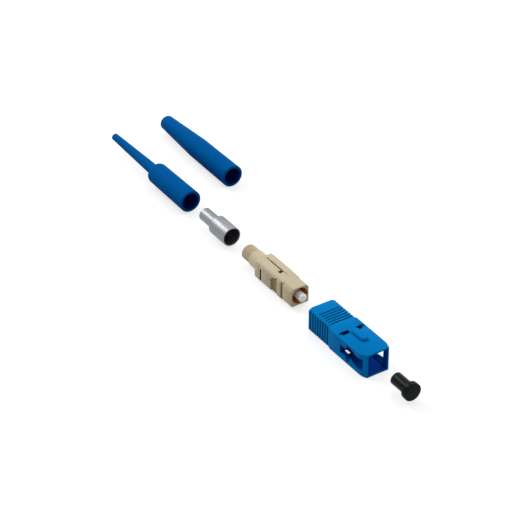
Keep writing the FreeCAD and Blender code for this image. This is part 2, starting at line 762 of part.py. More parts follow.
def make_dust_cap():
    """Soft cap whose narrow tube pushes onto the ferrule, with a wider head to hold."""
    cap_rear = "(cap_tip_gap - cap_bore_depth)"
    body = new_body("dust_cap", f"{cap_rear} + cap_apart")
    bore = "(ferrule_diameter / 2 + cap_clearance)"
    face = "(cap_tube_length + cap_head_length)"
    revolve(body, "shell", [
        ("0", bore),
        ("cap_bore_depth", bore),
        ("cap_bore_depth", "0"),
        (face, "0"),
        (face, "cap_head_diameter / 2"),
        ("cap_tube_length", "cap_head_diameter / 2"),
        ("cap_tube_length", "cap_tube_diameter / 2"),
        ("0", "cap_tube_diameter / 2"),
    ])
    shoulder_ring = ring_at("cap_tube_length", "cap_head_diameter")
    round_edges(body, "head_shoulder", "cap_corner", shoulder_ring, "Chamfer")
    round_edges(body, "head_face", "cap_corner / 2", ring_at(face, "cap_head_diameter"), "Chamfer")


for make in (make_ferrule, make_ferrule_flange, make_guide_tube, make_spring, make_plug_frame,
             make_rear_body, make_crimp_sleeve, make_fibre_boot, make_cable_boot,
             make_outer_housing, make_dust_cap):
    make()

document.recompute()
failed = [item.Name for item in document.Objects if {"Invalid", "Error"} & set(item.State)]
if failed:
    raise RuntimeError(f"failed objects: {failed}")
bodies = [item for item in document.Objects if item.TypeId == "PartDesign::Body"]
for body in bodies:
    if body.Shape.isNull() or not body.Shape.isValid() or len(body.Shape.Solids) != 1:
        raise RuntimeError(f"bad solid: {body.Label}")
os.makedirs("parts", exist_ok=True)
for body in bodies:
    body.Shape.exportStep(os.path.join("parts", body.Label + ".step"))
    print(body.Label, round(body.Shape.Volume, 3), body.Shape.BoundBox)
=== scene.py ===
"""Looks of an SC fibre connector laid out as a kit: the finish and fine form of every piece.

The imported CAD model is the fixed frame. Round pieces are turned ring by ring over their CAD nodes,
moulded pieces are copies of their nodes with softened edges, and each finish is a procedural material.
"""
import json
import logging
import math
from collections.abc import Callable
from dataclasses import dataclass, field
from enum import Enum

import bpy
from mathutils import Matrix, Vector

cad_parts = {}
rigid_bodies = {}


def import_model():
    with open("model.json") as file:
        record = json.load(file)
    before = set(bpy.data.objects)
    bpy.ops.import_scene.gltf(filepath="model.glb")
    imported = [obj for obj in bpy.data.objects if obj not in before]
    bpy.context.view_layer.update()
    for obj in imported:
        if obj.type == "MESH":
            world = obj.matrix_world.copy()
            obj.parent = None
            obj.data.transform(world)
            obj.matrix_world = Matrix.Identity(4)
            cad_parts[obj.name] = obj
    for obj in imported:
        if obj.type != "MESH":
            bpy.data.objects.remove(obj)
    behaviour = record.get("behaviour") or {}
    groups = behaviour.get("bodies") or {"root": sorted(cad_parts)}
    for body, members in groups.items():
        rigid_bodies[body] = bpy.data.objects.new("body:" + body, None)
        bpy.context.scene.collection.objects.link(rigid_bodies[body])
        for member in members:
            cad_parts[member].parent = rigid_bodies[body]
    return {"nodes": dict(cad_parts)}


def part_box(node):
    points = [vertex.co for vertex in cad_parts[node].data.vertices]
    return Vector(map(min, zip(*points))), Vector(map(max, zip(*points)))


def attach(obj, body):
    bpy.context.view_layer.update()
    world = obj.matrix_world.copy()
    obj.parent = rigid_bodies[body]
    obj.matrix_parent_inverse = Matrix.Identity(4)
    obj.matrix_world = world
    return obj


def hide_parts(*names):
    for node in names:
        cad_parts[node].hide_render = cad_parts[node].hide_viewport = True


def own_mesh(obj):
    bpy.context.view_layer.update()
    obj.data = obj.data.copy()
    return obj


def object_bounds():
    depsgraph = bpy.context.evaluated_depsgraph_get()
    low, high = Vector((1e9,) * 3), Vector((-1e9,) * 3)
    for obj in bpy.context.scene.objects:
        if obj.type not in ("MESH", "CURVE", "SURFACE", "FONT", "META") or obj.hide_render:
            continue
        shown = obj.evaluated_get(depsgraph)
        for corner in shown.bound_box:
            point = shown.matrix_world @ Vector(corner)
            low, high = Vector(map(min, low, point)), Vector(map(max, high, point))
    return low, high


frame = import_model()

cad_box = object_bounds()
log = logging.getLogger("sc_connector")

MM = 0.001
RING_SEGMENTS = 96
AXIS_RADIUS_MM = 0.004  # a turned solid starts and ends this close to its axis
SQUARE_ON = 0.9  # a face looks along a direction when its normal has this share of it
FLOOR_TOLERANCE_MM = 0.03  # a cut's floor lies this close to its named depth
INWARD_SHARE = 0.2  # a face looks inward when its normal has this share towards the axis
WELD_TURNED_M = 1e-7
WELD_COPIED_M = 1e-6
FLAT_DEG = 1.0  # faces of a copy that meet flatter than this become one
ORIGIN = Vector((0.0, 0.0, 0.0))
NOISE_SPREAD = (0.3, 0.7)  # nearly all values of a noise lie between these
LEAST_ROUGHNESS = 0.02


class Body(Enum):
    """Bodies of the motion model that a piece can ride on."""

    FRAME = "frame"
    FERRULE_SET = "ferrule_set"
    SLEEVE = "sleeve"
    BOOT = "boot"
    HOUSING = "housing"
    CAP = "cap"


class Slot(Enum):
    """Material slots of the record."""

    CERAMIC = "ceramic"
    NICKEL = "nickel"
    TUBE = "tube_plastic"
    SPRING = "spring_steel"
    BEIGE = "beige_plastic"
    SLEEVE = "sleeve_metal"
    BOOT = "boot_elastomer"
    BLUE = "blue_plastic"
    BLACK = "black_elastomer"


# ---------------------------------------------------------------- materials


def linear(hex_colour: str, shade: float = 1.0) -> tuple[float, float, float, float]:
    """Turn an sRGB hex colour into linear values.

    Args:
        hex_colour: Colour as "#RRGGBB".
        shade: Factor on the linear values, for a lighter or darker tone.

    Returns:
        Linear red, green, blue and an alpha of one.
    """
    channels = [int(hex_colour[start:start + 2], 16) / 255 for start in (1, 3, 5)]
    values = [c / 12.92 if c <= 0.04045 else ((c + 0.055) / 1.055) ** 2.4 for c in channels]
    return tuple(min(value * shade, 1.0) for value in values) + (1.0,)


def add_node(tree: bpy.types.NodeTree, kind: str, inputs: dict[str, object] | None = None,
             **settings: object) -> bpy.types.Node:
    """Add a shader node with its settings and links.

    Args:
        tree: Node tree to add to.
        kind: Node type name.
        inputs: Socket name to a value, or to an output socket that feeds it.
        settings: Node properties.

    Returns:
        The new node.
    """
    node = tree.nodes.new(kind)
    for name, value in settings.items():
        setattr(node, name, value)
    for name, value in (inputs or {}).items():
        if isinstance(value, bpy.types.NodeSocket):
            tree.links.new(value, node.inputs[name])
        else:
            node.inputs[name].default_value = value
    return node


def pattern_scale(size_mm: float) -> float:
    """Work out the scale of a noise.

    Args:
        size_mm: Width of its features in mm.

    Returns:
        Value for the noise's Scale socket.
    """
    return 1.0 / (size_mm * MM)


@dataclass(frozen=True)
class Finish:
    """A real surface: its colour, its gloss and the grain that its making leaves.

    The colour drifts between two close tones over tone_mm, the gloss over gloss_mm, and a bump of
    relief_mm height has grains of grain_mm. stretch squeezes the grain along X, Y and Z, so that
    values under one draw it out that way. Where the piece closes round itself within painted_shade_mm,
    its colour falls to painted_shade, a painted shade for the dark that falls between close walls:
    wholly where it sees less than closed_sky of its surroundings, not at all above open_sky. With
    painted_shade_local off, the floor and the other pieces close it in as well, so the painted shade
    also darkens it near them. subsurface_reach is in mm for red, green and blue.
    """

    name: str
    colour: str
    roughness: float
    tone: float = 0.06
    tone_mm: float = 1.5
    gloss: float = 0.08
    gloss_mm: float = 0.8
    grain_mm: float = 0.25
    relief_mm: float = 0.006
    stretch: tuple[float, float, float] = (1.0, 1.0, 1.0)
    metallic: float = 0.0
    specular: float = 0.2
    ior: float = 1.5
    sheen: float = 0.0
    sheen_colour: str = "#FFFFFF"
    sheen_roughness: float = 0.4
    subsurface: float = 0.0
    subsurface_reach: tuple[float, float, float] = (0.4, 0.35, 0.3)
    painted_shade: str = "#000000"
    painted_shade_mm: float = 3.0
    painted_shade_share: float = 0.0
    painted_shade_local: bool = True
    closed_sky: float = 0.25
    open_sky: float = 0.8

    def build(self) -> bpy.types.Material:
        """Make the Blender material.

        Returns:
            The material, of the finish's name.
        """
        material = bpy.data.materials.new(self.name)
        material.use_nodes = True
        tree = material.node_tree
        tree.nodes.clear()
        place = add_node(tree, "ShaderNodeTexCoord").outputs["Object"]
        drift = add_node(tree, "ShaderNodeTexNoise", {
            "Vector": place, "Scale": pattern_scale(self.tone_mm), "Detail": 4.0, "Roughness": 0.6})
        tint = add_node(tree, "ShaderNodeMix", {
            "Factor": drift.outputs["Fac"],
            "A": linear(self.colour, 1 - self.tone), "B": linear(self.colour, 1 + self.tone)},
            data_type="RGBA")
        # Painted shade: ambient occlusion mixes the colour towards painted_shade where close walls hem
        # the surface in.
        sky = add_node(tree, "ShaderNodeAmbientOcclusion", {"Distance": self.painted_shade_mm * MM},
                       only_local=self.painted_shade_local)
        depth = add_node(tree, "ShaderNodeMapRange", {
            "Value": sky.outputs["AO"], "From Min": self.closed_sky, "From Max": self.open_sky,
            "To Min": self.painted_shade_share, "To Max": 0.0})
        colour = add_node(tree, "ShaderNodeMix", {
            "Factor": depth.outputs["Result"], "A": tint.outputs["Result"], "B": linear(self.painted_shade)},
            data_type="RGBA")
        sweep = add_node(tree, "ShaderNodeTexNoise", {
            "Vector": place, "Scale": pattern_scale(self.gloss_mm), "Detail": 3.0})
        rough = add_node(tree, "ShaderNodeMapRange", {
            "Value": sweep.outputs["Fac"], "From Min": NOISE_SPREAD[0], "From Max": NOISE_SPREAD[1],
            "To Min": max(self.roughness - self.gloss, LEAST_ROUGHNESS),
            "To Max": self.roughness + self.gloss})
        drawn = add_node(tree, "ShaderNodeMapping", {"Vector": place, "Scale": self.stretch})
        grain = add_node(tree, "ShaderNodeTexNoise", {
            "Vector": drawn.outputs["Vector"], "Scale": pattern_scale(self.grain_mm), "Detail": 5.0,
            "Roughness": 0.65})
        relief = add_node(tree, "ShaderNodeBump", {
            "Height": grain.outputs["Fac"], "Distance": self.relief_mm * MM, "Strength": 1.0})
        shader = add_node(tree, "ShaderNodeBsdfPrincipled", {
            "Base Color": colour.outputs["Result"], "Roughness": rough.outputs["Result"],
            "Normal": relief.outputs["Normal"], "Metallic": self.metallic, "IOR": self.ior,
            "Specular IOR Level": self.specular, "Sheen Weight": self.sheen,
            "Sheen Tint": linear(self.sheen_colour), "Sheen Roughness": self.sheen_roughness,
            "Subsurface Weight": self.subsurface, "Subsurface Radius": self.subsurface_reach,
            "Subsurface Scale": MM})
        add_node(tree, "ShaderNodeOutputMaterial", {"Surface": shader.outputs["BSDF"]})
        return material


# Satin injection-moulded PBT: an even tone with a soft broad highlight and a very fine spark grain.
# In creases and recesses its colour falls to navy, a painted shade.
BLUE_PBT = Finish("moulded_blue_pbt", "#007BC2", roughness=0.42, tone=0.05, specular=0.01, grain_mm=0.16,
                  relief_mm=0.004, painted_shade="#000E50", painted_shade_mm=3.0, painted_shade_share=0.85)
# Painted shade for the walls of the housing's top slots, which light hardly enters: a navy close to black
# in place of the blue.
SLOT_SHADE_PBT = Finish("moulded_blue_pbt_slot_painted_shade", "#001838", roughness=0.6, specular=0.01, relief_mm=0.004)
# Painted shade for the inside of the housing: the same PBT deeper and more violet, since little light
# leaves it, and darker still between close walls.
INNER_SHADE_PBT = Finish("moulded_blue_pbt_inside_painted_shade", "#0049B0", roughness=0.5, tone=0.05, specular=0.01,
                   relief_mm=0.004, painted_shade="#000418", painted_shade_mm=6.0, painted_shade_share=1.0)
# Glass-filled PBT in beige: slightly speckled, matt on the recess floors. In creases and recesses its
# colour falls to orange brown, a painted shade with a painted warm bounce.
BEIGE_PBT = Finish("moulded_beige_pbt", "#C6B798", roughness=0.5, tone=0.07, tone_mm=0.7, specular=0.4,
                   grain_mm=0.2, relief_mm=0.006, painted_shade="#8A5A20", painted_shade_mm=3.0, painted_shade_share=0.8)
# Floors of the frame's side recess and groove: duller than the sides, and browner and darker by a
# painted shade.
RECESS_SHADE_BEIGE = Finish("recess_beige_pbt_painted_shade", "#AA946A", roughness=0.7, tone=0.08, tone_mm=0.5, specular=0.2,
                      grain_mm=0.15, relief_mm=0.01, painted_shade="#8A6030", painted_shade_mm=3.0, painted_shade_share=0.6)
# Bore of the frame round the ferrule: painted bounce light and shade, the orange brown that light
# bouncing between its walls would give them, darker deep inside.
BORE_BOUNCE_SHADE_BEIGE = Finish("beige_pbt_bore_painted_bounce_and_shade", "#B97A34", roughness=0.6, tone=0.06, specular=0.2,
                    painted_shade="#7A3E08", painted_shade_mm=3.0, painted_shade_share=1.0)
# Floors of the frame's narrow slits, which hardly any light reaches: near black with a brown cast.
SLIT_BEIGE = Finish("shaded_slit_pbt", "#140C06", roughness=0.8, specular=0.1)
# Soft thermoplastic elastomer: deeper colour and a silky highlight without sparkle. A painted shade
# darkens it towards the floor, near the other pieces and in creases.
BLUE_ELASTOMER = Finish("blue_elastomer", "#00589D", roughness=0.46, tone=0.06, specular=0.005,
                        sheen=0.25, sheen_colour="#0090E0", grain_mm=0.3, relief_mm=0.005,
                        painted_shade="#001E6A", painted_shade_mm=20.0, painted_shade_share=0.8, painted_shade_local=False)
# Painted shade for the bores of the same elastomer, without the outer skin's silky highlight: navy,
# nearly black deep inside.
BORE_SHADE_ELASTOMER = Finish("blue_elastomer_bore_painted_shade", "#001A6A", roughness=0.7, specular=0.005,
                        painted_shade="#000A3C", painted_shade_mm=4.0, painted_shade_share=1.0)
# Black elastomer of a dust cap: charcoal with a wide grey sheen on its shoulders.
BLACK_ELASTOMER = Finish("black_elastomer", "#0A1610", roughness=0.24, tone=0.1, specular=0.06,
                         grain_mm=0.25, relief_mm=0.006)
# Satin nickel over a drawn tube: fine rings around the axis from the last turning pass. Inside the
# bore its colour falls to near black, a painted shade.
SATIN_NICKEL = Finish("satin_nickel_tube", "#86888B", roughness=0.42, gloss=0.04, tone=0.08, metallic=1.0,
                      grain_mm=0.22, relief_mm=0.004, stretch=(1.0, 0.04, 0.04),
                      painted_shade="#060B09", painted_shade_mm=4.0, painted_shade_share=1.0)
# Turned nickel-plated brass holder inside the plug: brighter, with finer turning marks.
TURNED_NICKEL = Finish("turned_nickel_holder", "#CFC9BE", roughness=0.24, metallic=1.0,
                       grain_mm=0.12, relief_mm=0.003, stretch=(1.0, 0.05, 0.05))
# Hard-drawn stainless spring wire: bright, with faint die marks along the wire.
SPRING_WIRE = Finish("drawn_spring_wire", "#BFC1C4", roughness=0.26, metallic=1.0,
                     grain_mm=0.1, relief_mm=0.002)
# Polished zirconia: dense white with a hard clear gloss.
ZIRCONIA = Finish("polished_zirconia", "#FBFBFA", roughness=0.14, tone=0.01, gloss=0.03, ior=2.1,
                  specular=0.85, grain_mm=0.4, relief_mm=0.0006, subsurface=0.6)
# Natural fluoropolymer tube: milky and waxy.
MILKY_TUBE = Finish("milky_guide_tube", "#DCDDD6", roughness=0.38, tone=0.03, subsurface=0.25)


# ---------------------------------------------------------------- modelling by hand


def clear_selection() -> None:
    """Deselect every object, the frame's own nodes among them."""
    for item in bpy.context.view_layer.objects:
        item.select_set(False)


def take_up(item: bpy.types.Object) -> None:
    """Make one object the only selected and active one.

    Args:
        item: The object.
    """
    clear_selection()
    item.select_set(True)
    bpy.context.view_layer.objects.active = item


def apply_modifiers(item: bpy.types.Object) -> None:
    """Apply every modifier of an object in order.

    Args:
        item: The object.
    """
    take_up(item)
    for modifier in list(item.modifiers):
        bpy.ops.object.modifier_apply(modifier=modifier.name)


def smooth(item: bpy.types.Object, angle_deg: float = 32.0) -> None:
    """Shade smooth apart from sharp edges.

    Args:
        item: The object.
        angle_deg: Edges sharper than this stay sharp.
    """
    take_up(item)
    bpy.ops.object.shade_smooth_by_angle(angle=math.radians(angle_deg))


def finish_piece(item: bpy.types.Object, material: bpy.types.Material, body: Body, slot: Slot,
                 *nodes: str) -> bpy.types.Object:
    """Dress a piece and tie it to the frame.

    Args:
        item: The piece, in place.
        material: Its finish.
        body: Body that it rides on.
        slot: Record slot that it takes its finish from; not used.
        nodes: CAD nodes that it stands for.

    Returns:
        The same piece.
    """
    item.data.materials.clear()
    item.data.materials.append(material)
    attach(item, body.value)
    if nodes:
        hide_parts(*nodes)
    log.info("%s: %d faces on %s", item.name, len(item.data.polygons), body.value)
    return item


def dress_faces(item: bpy.types.Object, material: bpy.types.Material,
                chosen: Callable[[bpy.types.MeshPolygon], bool]) -> None:
    """Give the chosen faces of a finished piece a further finish.

    Args:
        item: Piece that already has its main finish.
        material: Finish of the chosen faces.
        chosen: Tells of a face whether it is one of them.
    """
    item.data.materials.append(material)
    for face in item.data.polygons:
        if chosen(face):
            face.material_index = len(item.data.materials) - 1


def looks_inward(face: bpy.types.MeshPolygon, axis: Vector = ORIGIN) -> bool:
    """Whether a face looks towards a line along X.

    Args:
        face: The face.
        axis: A point on the line.

    Returns:
        True if its normal points well towards the line.
    """
    away = Vector((0.0, face.center.y - axis.y, face.center.z - axis.z))
    return face.normal.dot(away) < -INWARD_SHARE * away.length


def looks_sideways(face: bpy.types.MeshPolygon) -> bool:
    """Whether a face looks squarely out along Y, away from the axis.

    Args:
        face: The face.

    Returns:
        True if it does.
    """
    return face.normal.y * face.center.y > SQUARE_ON * abs(face.center.y)


def dress_node(name: str, material: bpy.types.Material) -> None:
    """Give a carried-over CAD node its finish.

    Args:
        name: The node.
        material: Its finish.
    """
    node = frame["nodes"][name]
    node.data.materials.clear()
    node.data.materials.append(material)
    log.info("%s: CAD node dressed", name)


@dataclass(frozen=True)
class Corner:
    """Corner of a turned outline: place along the axis, radius, and rounding, all in mm."""

    along: float
    radius: float
    rounding: float = 0.0


def rounded_outline(corners: list[Corner], closed: bool, steps: int = 6) -> list[tuple[float, float]]:
    """Walk an outline and replace each rounded corner by an arc.

    Args:
        corners: Outline in order.
        closed: Whether the last corner joins the first.
        steps: Points on each arc, less one.

    Returns:
        Stations as (along, radius) pairs in mm.
    """
    stations: list[tuple[float, float]] = []
    count = len(corners)
    for index, corner in enumerate(corners):
        here = Vector((corner.along, corner.radius))
        ends = not closed and index in (0, count - 1)
        if corner.rounding <= 0 or ends:
            stations.append(tuple(here))
            continue
        before, after = corners[index - 1], corners[(index + 1) % count]
        back = (Vector((before.along, before.radius)) - here).normalized()
        ahead = (Vector((after.along, after.radius)) - here).normalized()
        half = back.angle(ahead) / 2
        reach = corner.rounding / math.tan(half)
        centre = here + (back + ahead).normalized() * (corner.rounding / math.sin(half))
        start, end = here + back * reach - centre, here + ahead * reach - centre
        sweep = start.angle_signed(end)
        for step in range(steps + 1):
            turn = -sweep * step / steps
            spoke = Vector((start.x * math.cos(turn) - start.y * math.sin(turn),
                            start.x * math.sin(turn) + start.y * math.cos(turn)))
            stations.append(tuple(centre + spoke))
    return stations


def turn_piece(name: str, corners: list[Corner], axis: Vector, solid: bool = False,
               segments: int = RING_SEGMENTS) -> bpy.types.Object:
    """Turn a round piece about X by extruding a ring from station to station.

    Args:
        name: Piece name.
        corners: Outline, its places along X measured from axis.
        axis: Point in metres that the outline starts from.
        solid: Whether the piece starts and ends on the axis instead of closing on itself.
        segments: Corners of each ring.

    Returns:
        The piece, its origin at the world origin.
    """
    clear_selection()
    stations = rounded_outline(corners, closed=not solid)
    along, radius = stations[0]
    bpy.ops.mesh.primitive_circle_add(
        vertices=segments, radius=radius * MM, fill_type="NGON" if solid else "NOTHING",
        location=(axis.x + along * MM, axis.y, axis.z), rotation=(0.0, math.pi / 2, 0.0))
    item = bpy.context.object
    item.name = item.data.name = name
    bpy.ops.object.transform_apply(location=True, rotation=True, scale=True)
    bpy.ops.object.mode_set(mode="EDIT")
    bpy.ops.mesh.select_mode(type="FACE" if solid else "EDGE")
    bpy.ops.mesh.select_all(action="SELECT")
    route = stations[1:] if solid else stations[1:] + stations[:1]
    for next_along, next_radius in route:
        bpy.ops.mesh.extrude_region_move(
            TRANSFORM_OT_translate={"value": ((next_along - along) * MM, 0.0, 0.0)})
        grow = next_radius / radius
        bpy.ops.transform.resize(value=(1.0, grow, grow), center_override=(0.0, axis.y, axis.z))
        along, radius = next_along, next_radius
    bpy.ops.mesh.select_all(action="SELECT")
    bpy.ops.mesh.remove_doubles(threshold=WELD_TURNED_M)
    bpy.ops.mesh.normals_make_consistent(inside=False)
    bpy.ops.object.mode_set(mode="OBJECT")
    smooth(item)
    return item


def moulded_copy(node: str, name: str, edge_mm: float, steps: int = 2,
                 angle_deg: float = 30.0) -> bpy.types.Object:
    """Copy a CAD node as one welded mesh and soften its edges as a mould does.

    Args:
        node: CAD node to copy.
        name: Name of the new piece.
        edge_mm: Rounding of the edges.
        steps: Segments across each rounded edge.
        angle_deg: Edges flatter than this stay.

    Returns:
        The piece, in place.
    """
    mesh = frame["nodes"][node].data.copy()
    item = bpy.data.objects.new(name, mesh)
    mesh.name = name
    bpy.context.scene.collection.objects.link(item)
    take_up(item)
    bpy.ops.object.mode_set(mode="EDIT")
    bpy.ops.mesh.select_all(action="SELECT")
    bpy.ops.mesh.remove_doubles(threshold=WELD_COPIED_M)
    bpy.ops.mesh.dissolve_limited(angle_limit=math.radians(FLAT_DEG))
    bpy.ops.object.mode_set(mode="OBJECT")
    bevel = item.modifiers.new("edges", "BEVEL")
    bevel.width = edge_mm * MM
    bevel.segments = steps
    bevel.limit_method = "ANGLE"
    bevel.angle_limit = math.radians(angle_deg)
    apply_modifiers(item)
    smooth(item)
    return item


# ---------------------------------------------------------------- sub-assemblies


@dataclass
class RoundSpan:
    """Place and size of a round CAD node along the axis, in metres."""

    node: str
    low: Vector = field(init=False)
    high: Vector = field(init=False)

    def __post_init__(self) -> None:
        """Read the node's box from the frame."""
        self.low, self.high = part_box(self.node)

    @property
    def length_mm(self) -> float:
        """Length along X in mm."""
        return (self.high.x - self.low.x) / MM

    @property
    def radius_mm(self) -> float:
        """Largest radius in mm."""
        return (self.high.z - self.low.z) / 2 / MM

    def rear(self) -> Vector:
        """Find the rear end.

        Returns:
            Its point on the axis.
        """
        return Vector((self.low.x, (self.low.y + self.high.y) / 2, (self.low.z + self.high.z) / 2))

    def front(self) -> Vector:
        """Find the front end.

        Returns:
            Its point on the axis.
        """
        return Vector((self.high.x, (self.low.y + self.high.y) / 2, (self.low.z + self.high.z) / 2))


@dataclass
class Boots:
    """The two elastomer boots, moulded open at the mouth with a stepped bore.

    All places are measured back from the mouth. The fibre boot has a body, a rounded shoulder, a thin
    tail from root to tip, and a shallow witness ring round the body; the cable boot tapers to a waist
    and from there, in one long curve, to its tip.
    """

    mouth_bore_mm: float = 2.55
    mouth_depth_mm: float = 2.2
    neck_bore_mm: float = 2.1
    neck_depth_mm: float = 8.0
    bore_cone_mm: float = 1.4
    bore_rounding_mm: float = 0.3
    tail_rounding_mm: float = 0.08
    lip_mm: float = 0.14
    fibre_bore_mm: float = 0.55
    body_mm: float = 19.5
    shoulder_radius_mm: float = 3.25
    shoulder_rounding_mm: float = 1.2
    root_radius_mm: float = 1.75
    root_rounding_mm: float = 0.25
    fibre_tip_radius_mm: float = 1.1
    fibre_tip_rounding_mm: float = 0.2
    ring_mm: float = 6.6
    ring_width_mm: float = 0.3
    ring_depth_mm: float = 0.06
    ring_rounding_mm: float = 0.05
    cable_bore_mm: float = 1.6
    waist_mm: float = 19.2
    waist_radius_mm: float = 3.3
    waist_curve_mm: float = 18.0
    cable_tip_radius_mm: float = 2.25
    cable_tip_rounding_mm: float = 0.5

    def bore_outline(self, tail_bore_mm: float, tail_mm: float) -> list[Corner]:
        """Inner outline from the mouth back to the tail's tip.

        Args:
            tail_bore_mm: Radius of the bore in the tail.
            tail_mm: Place of the tail's tip.

        Returns:
            Its corners in order.
        """
        return [
            Corner(0.0, self.mouth_bore_mm, self.lip_mm),
            Corner(-self.mouth_depth_mm, self.mouth_bore_mm, self.bore_rounding_mm),
            Corner(-self.mouth_depth_mm - self.bore_cone_mm, self.neck_bore_mm, self.bore_rounding_mm),
            Corner(-self.neck_depth_mm, self.neck_bore_mm),
            Corner(-self.neck_depth_mm, tail_bore_mm),
            Corner(-tail_mm, tail_bore_mm, self.tail_rounding_mm),
        ]

    def fibre_boot(self, material: bpy.types.Material, bore: bpy.types.Material) -> None:
        """Boot for bare fibre: long thin tail, rounded shoulder, witness ring, wide body.

        Args:
            material: Finish of the skin.
            bore: Finish of the bore, a painted shade.
        """
        span = RoundSpan("fibre_boot")
        ring, groove, edge = self.ring_mm, self.ring_width_mm, self.ring_rounding_mm
        slope = (span.radius_mm - self.shoulder_radius_mm) / self.body_mm
        at_ring = span.radius_mm - slope * ring
        in_ring = at_ring - self.ring_depth_mm
        corners = self.bore_outline(self.fibre_bore_mm, span.length_mm) + [
            Corner(-span.length_mm, self.fibre_tip_radius_mm, self.fibre_tip_rounding_mm),
            Corner(-self.body_mm, self.root_radius_mm, self.root_rounding_mm),
            Corner(-self.body_mm, self.shoulder_radius_mm, self.shoulder_rounding_mm),
            Corner(-ring - groove, at_ring, edge),
            Corner(-ring - groove * 0.75, in_ring, edge),
            Corner(-ring - groove * 0.25, in_ring, edge),
            Corner(-ring, at_ring, edge),
            Corner(0.0, span.radius_mm, self.lip_mm),
        ]
        item = turn_piece("fibre_boot_shell", corners, span.front())
        finish_piece(item, material, Body.BOOT, Slot.BOOT, "fibre_boot")
        # Painted shade: the bore faces take a dark navy.
        dress_faces(item, bore, lambda face: looks_inward(face, span.front()))

    def cable_boot(self, material: bpy.types.Material, bore: bpy.types.Material) -> None:
        """Boot for round cable: long taper to a rounded end.

        Args:
            material: Finish of the skin.
            bore: Finish of the bore, a painted shade.
        """
        span = RoundSpan("cable_boot")
        corners = self.bore_outline(self.cable_bore_mm, span.length_mm) + [
            Corner(-span.length_mm, self.cable_tip_radius_mm, self.cable_tip_rounding_mm),
            Corner(-self.waist_mm, self.waist_radius_mm, self.waist_curve_mm),
            Corner(0.0, span.radius_mm, self.lip_mm),
        ]
        item = turn_piece("cable_boot_shell", corners, span.front())
        finish_piece(item, material, Body.FRAME, Slot.BOOT, "cable_boot")
        # Painted shade: the bore faces take a dark navy.
        dress_faces(item, bore, lambda face: looks_inward(face, span.front()))

    def build(self) -> None:
        """Make both boots in one skin material and one bore material, both with painted shade."""
        skin, bore = BLUE_ELASTOMER.build(), BORE_SHADE_ELASTOMER.build()
        self.fibre_boot(skin, bore)
        self.cable_boot(skin, bore)


@dataclass
class CrimpSleeve:
    """Drawn metal tube with a wide mouth, a short cone and a narrow neck."""

    wide_mm: float = 7.6
    cone_mm: float = 0.8
    wall_mm: float = 0.3
    neck_radius_mm: float = 2.0
    mouth_roundings_mm: tuple[float, float] = (0.08, 0.1)  # inner, outer
    rear_roundings_mm: tuple[float, float] = (0.06, 0.12)
    cone_bore_rounding_mm: float = 0.3
    cone_roundings_mm: tuple[float, float] = (0.25, 0.35)  # narrow end, wide end

    def build(self) -> None:
        """Turn the sleeve with rolled edges at both ends."""
        span = RoundSpan("crimp_sleeve")
        wide, neck = span.radius_mm, self.neck_radius_mm
        wide_bore, neck_bore = wide - self.wall_mm, neck - self.wall_mm
        rear, cone_end, cone_start = -span.length_mm, -self.wide_mm - self.cone_mm, -self.wide_mm
        corners = [
            Corner(0.0, wide_bore, self.mouth_roundings_mm[0]),
            Corner(cone_start, wide_bore, self.cone_bore_rounding_mm),
            Corner(cone_end, neck_bore, self.cone_bore_rounding_mm),
            Corner(rear, neck_bore, self.rear_roundings_mm[0]),
            Corner(rear, neck, self.rear_roundings_mm[1]),
            Corner(cone_end, neck, self.cone_roundings_mm[0]),
            Corner(cone_start, wide, self.cone_roundings_mm[1]),
            Corner(0.0, wide, self.mouth_roundings_mm[1]),
        ]
        item = turn_piece("crimp_sleeve_tube", corners, span.front())
        finish_piece(item, SATIN_NICKEL.build(), Body.SLEEVE, Slot.SLEEVE, "crimp_sleeve")


@dataclass
class DustCap:
    """Black cap: narrow tube for the ferrule and a round head."""

    bore_mm: float = 1.28
    bore_depth_mm: float = 5.6
    tube_radius_mm: float = 1.85
    tube_mm: float = 5.5
    bore_roundings_mm: tuple[float, float] = (0.2, 0.12)  # end, mouth
    tube_rounding_mm: float = 0.15
    head_roundings_mm: tuple[float, float] = (0.5, 0.28)  # towards the tube, face

    def build(self) -> None:
        """Turn the cap from the middle of its bore's end round to the middle of its face."""
        span = RoundSpan("dust_cap")
        head = span.radius_mm
        corners = [
            Corner(self.bore_depth_mm, AXIS_RADIUS_MM),
            Corner(self.bore_depth_mm, self.bore_mm, self.bore_roundings_mm[0]),
            Corner(0.0, self.bore_mm, self.bore_roundings_mm[1]),
            Corner(0.0, self.tube_radius_mm, self.tube_rounding_mm),
            Corner(self.tube_mm, self.tube_radius_mm, self.tube_rounding_mm),
            Corner(self.tube_mm, head, self.head_roundings_mm[0]),
            Corner(span.length_mm, head, self.head_roundings_mm[1]),
            Corner(span.length_mm, AXIS_RADIUS_MM),
        ]
        item = turn_piece("dust_cap_shell", corners, span.rear(), solid=True)
        finish_piece(item, BLACK_ELASTOMER.build(), Body.CAP, Slot.BLACK, "dust_cap")


